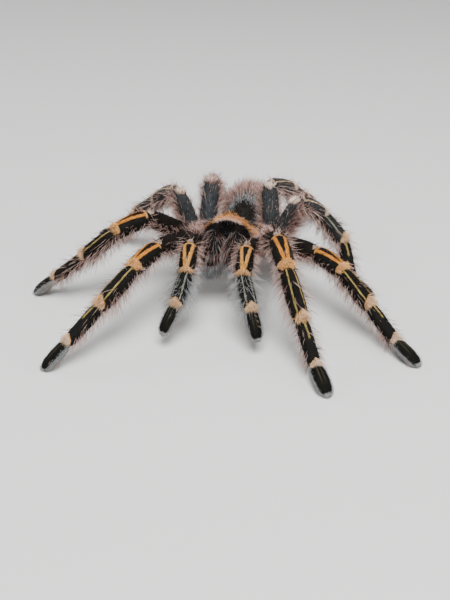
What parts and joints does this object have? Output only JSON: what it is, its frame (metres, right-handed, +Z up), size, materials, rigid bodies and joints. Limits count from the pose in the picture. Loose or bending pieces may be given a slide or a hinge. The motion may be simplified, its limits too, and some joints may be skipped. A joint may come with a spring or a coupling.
{
  "type": "dried tarantula specimen",
  "caption": "Whole dried tarantula set standing on its feet, palps held off the ground, with banded hairy legs and a domed front shield.",
  "frame": {"origin": "on the ground under the middle of the standing specimen's outline", "axes": "+Z up, -Y the way the spider faces, +X its own left side"},
  "size_m": [0.1332, 0.1464, 0.0315],
  "materials": {
    "shell": "dark brown shell under a close velvet of hair, with a pink-orange fringe round the head",
    "breastplate": "black-brown velvet with sparse long hairs",
    "abdomen_skin": "dark velvet under long pinkish-brown hairs",
    "jaw": "dark grey-brown velvet with hanging grey-pink hairs and a pale lower fringe",
    "fang": "glossy black horn",
    "limb": "black velvet with orange-yellow stripes, pale cream cuffs at the joints and long pinkish-white hairs",
    "foot": "charcoal velvet with a pale grey-green edge of pad hair"
  },
  "bodies": {
    "root": {"abdomen": "abdomen_skin", "carapace": "shell", "chelicera_left": "jaw", "chelicera_right": "jaw", "fang_left": "fang", "fang_right": "fang", "leg_1_left_femur": "limb", "leg_1_left_metatarsus": "limb", "leg_1_left_patella": "limb", "leg_1_left_tarsus": "foot", "leg_1_left_tibia": "limb", "leg_1_right_femur": "limb", "leg_1_right_metatarsus": "limb", "leg_1_right_patella": "limb", "leg_1_right_tarsus": "foot", "leg_1_right_tibia": "limb", "leg_2_left_femur": "limb", "leg_2_left_metatarsus": "limb", "leg_2_left_patella": "limb", "leg_2_left_tarsus": "foot", "leg_2_left_tibia": "limb", "leg_2_right_femur": "limb", "leg_2_right_metatarsus": "limb", "leg_2_right_patella": "limb", "leg_2_right_tarsus": "foot", "leg_2_right_tibia": "limb", "leg_3_left_femur": "limb", "leg_3_left_metatarsus": "limb", "leg_3_left_patella": "limb", "leg_3_left_tarsus": "foot", "leg_3_left_tibia": "limb", "leg_3_right_femur": "limb", "leg_3_right_metatarsus": "limb", "leg_3_right_patella": "limb", "leg_3_right_tarsus": "foot", "leg_3_right_tibia": "limb", "leg_4_left_femur": "limb", "leg_4_left_metatarsus": "limb", "leg_4_left_patella": "limb", "leg_4_left_tarsus": "foot", "leg_4_left_tibia": "limb", "leg_4_right_femur": "limb", "leg_4_right_metatarsus": "limb", "leg_4_right_patella": "limb", "leg_4_right_tarsus": "foot", "leg_4_right_tibia": "limb", "palp_left_femur": "limb", "palp_left_patella": "limb", "palp_left_tarsus": "foot", "palp_left_tibia": "limb", "palp_right_femur": "limb", "palp_right_patella": "limb", "palp_right_tarsus": "foot", "palp_right_tibia": "limb", "pedicel": "abdomen_skin", "spinneret_left": "abdomen_skin", "spinneret_right": "abdomen_skin", "underside": "breastplate"}
  },
  "joints": []
}
